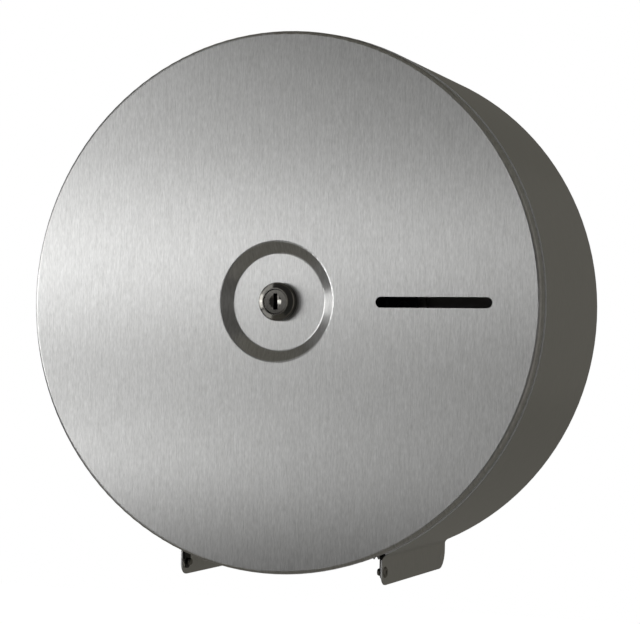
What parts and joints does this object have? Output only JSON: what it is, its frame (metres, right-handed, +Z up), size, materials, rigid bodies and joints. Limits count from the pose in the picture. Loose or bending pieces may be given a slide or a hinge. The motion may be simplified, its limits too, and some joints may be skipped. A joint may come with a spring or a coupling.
{
  "type": "jumbo toilet roll dispenser",
  "caption": "Round wall-mounted sheet-steel dispenser for a jumbo toilet roll, with a hinged lockable front cover, sight slot and paper outlet between two ears below.",
  "frame": {"origin": "on the spindle axis, in the wall plane that the back plate lies on, at the centre of the four wall fixings", "axes": "+X right, +Z up, +Y into the wall; the front cover faces -Y"},
  "size_m": [0.3014, 0.1319, 0.3051],
  "materials": {
    "brushed_stainless": "vertical brushed grain",
    "satin_stainless": "fine satin sheet",
    "mill_steel": "mill-finish sheet and tube",
    "black_zinc": "black zinc plate on steel sheet",
    "rivet_steel": "plain drawn steel",
    "zinc_steel": "bright zinc plate",
    "black_nickel": "dark nickel plate on die-cast zinc",
    "hub_abs": "moulded black ABS",
    "nylon": "natural nylon"
  },
  "bodies": {
    "housing": {"drum_shell": "satin_stainless", "back_plate": "satin_stainless", "tear_bar": "satin_stainless", "tear_bar_rivets": "rivet_steel", "hinge_rivets": "rivet_steel", "hinge_washers": "nylon", "spindle_flange": "mill_steel", "spindle_tube": "mill_steel", "spindle_screws": "zinc_steel", "spindle_nuts": "zinc_steel", "thrust_washer": "nylon", "lock_keeper": "mill_steel", "keeper_screws": "zinc_steel"},
    "cover": {"front_cover": "brushed_stainless", "hinge_arm_left": "black_zinc", "hinge_arm_right": "black_zinc", "lock_body": "black_nickel", "lock_washer": "zinc_steel", "lock_nut": "zinc_steel"},
    "lock": {"lock_plug": "black_nickel", "lock_cam": "zinc_steel", "cam_washer": "zinc_steel", "cam_screw": "zinc_steel"},
    "hub": {"roll_hub": "hub_abs"}
  },
  "joints": [
    {"name": "cover_hinge", "type": "hinge", "parent": "housing", "child": "cover", "pos_m": [0, -0.1124, -0.1473], "axis": [1, 0, 0], "range_deg": [0, 180]},
    {"name": "lock_turn", "type": "hinge", "parent": "cover", "child": "lock", "pos_m": [0, -0.13, 0], "axis": [0, 1, 0], "range_deg": [0, 90]},
    {"name": "hub_spin", "type": "hinge", "parent": "housing", "child": "hub", "pos_m": [0, -0.06, 0], "axis": [0, 1, 0], "continuous": true}
  ]
}
